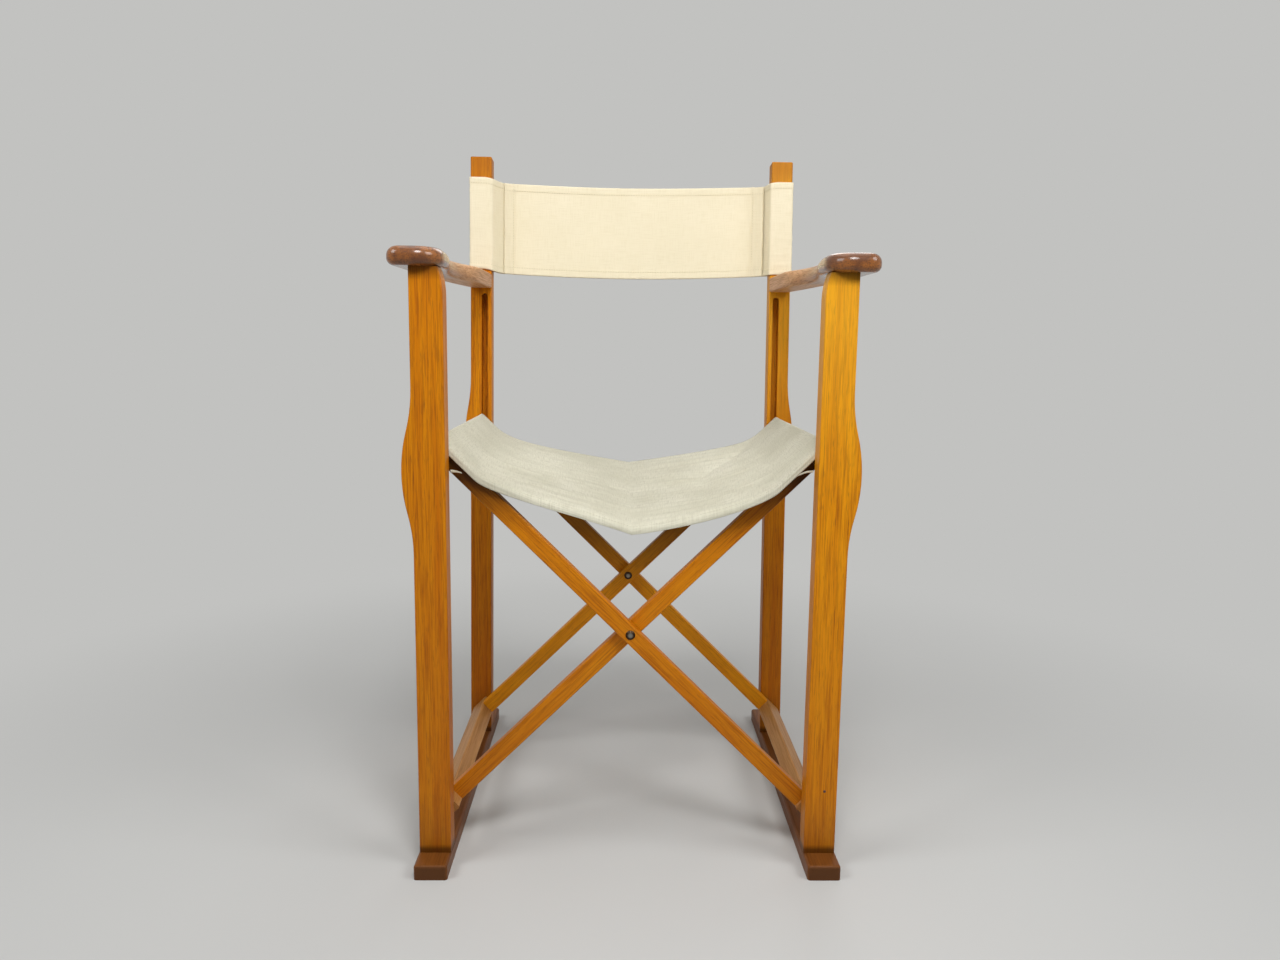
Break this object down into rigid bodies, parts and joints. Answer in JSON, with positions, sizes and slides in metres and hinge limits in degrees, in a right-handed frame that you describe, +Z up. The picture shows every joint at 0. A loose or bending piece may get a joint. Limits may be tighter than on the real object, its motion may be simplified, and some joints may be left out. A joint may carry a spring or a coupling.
{
  "type": "folding directors chair",
  "caption": "Folding wooden armchair on sled runners with crossed scissor legs, a canvas sling seat and a canvas back strip; its sides fold together.",
  "frame": {"origin": "on the floor, in the middle between the two runners", "axes": "+Z up, +Y to the back of the chair, +X to the right as seen from the front"},
  "size_m": [0.514, 0.46, 0.8499],
  "materials": {
    "honey_wood": "oiled, satin",
    "worn_arm_wood": "dark, worn glossy by hands",
    "steel": "dull bare steel",
    "back_canvas": "matt cream canvas",
    "seat_canvas": "matt off-white canvas"
  },
  "bodies": {
    "left_side": {"runner_left": "honey_wood", "front_leg_left": "honey_wood", "back_post_left": "honey_wood", "armrest_left": "worn_arm_wood", "back_sleeve_left": "back_canvas", "back_canvas": "back_canvas"},
    "inner_frame": {"inner_leg_front": "honey_wood", "inner_leg_rear": "honey_wood", "inner_floor_rail": "honey_wood", "inner_seat_rail": "honey_wood", "inner_floor_pins": "steel", "inner_seat_pins": "steel", "seat_canvas": "seat_canvas"},
    "outer_frame": {"outer_leg_front": "honey_wood", "outer_leg_rear": "honey_wood", "outer_floor_rail": "honey_wood", "outer_seat_rail": "honey_wood", "outer_floor_pins": "steel", "outer_seat_pins": "steel", "cross_rivet_front": "steel", "cross_rivet_rear": "steel", "cross_washers": "steel"},
    "right_side": {"runner_right": "honey_wood", "front_leg_right": "honey_wood", "back_post_right": "honey_wood", "armrest_right": "worn_arm_wood", "back_sleeve_right": "back_canvas"}
  },
  "joints": [
    {"name": "fold", "type": "hinge", "parent": "left_side", "child": "inner_frame", "pos_m": [-0.21, 0, 0.056], "axis": [0, -1, 0], "range_deg": [0, 39.4], "deforming": ["seat_canvas", "back_canvas"]},
    {"name": "cross", "type": "hinge", "parent": "inner_frame", "child": "outer_frame", "pos_m": [0, 0, 0.263], "axis": [0, 1, 0], "range_deg": [0, 78.8]},
    {"name": "right_pivot", "type": "hinge", "parent": "outer_frame", "child": "right_side", "pos_m": [0.21, 0, 0.056], "axis": [0, -1, 0], "range_deg": [0, 39.4]}
  ],
  "couplings": [
    {"joint": "cross", "follows": "fold", "ratio": 2},
    {"joint": "right_pivot", "follows": "fold", "ratio": 1}
  ]
}
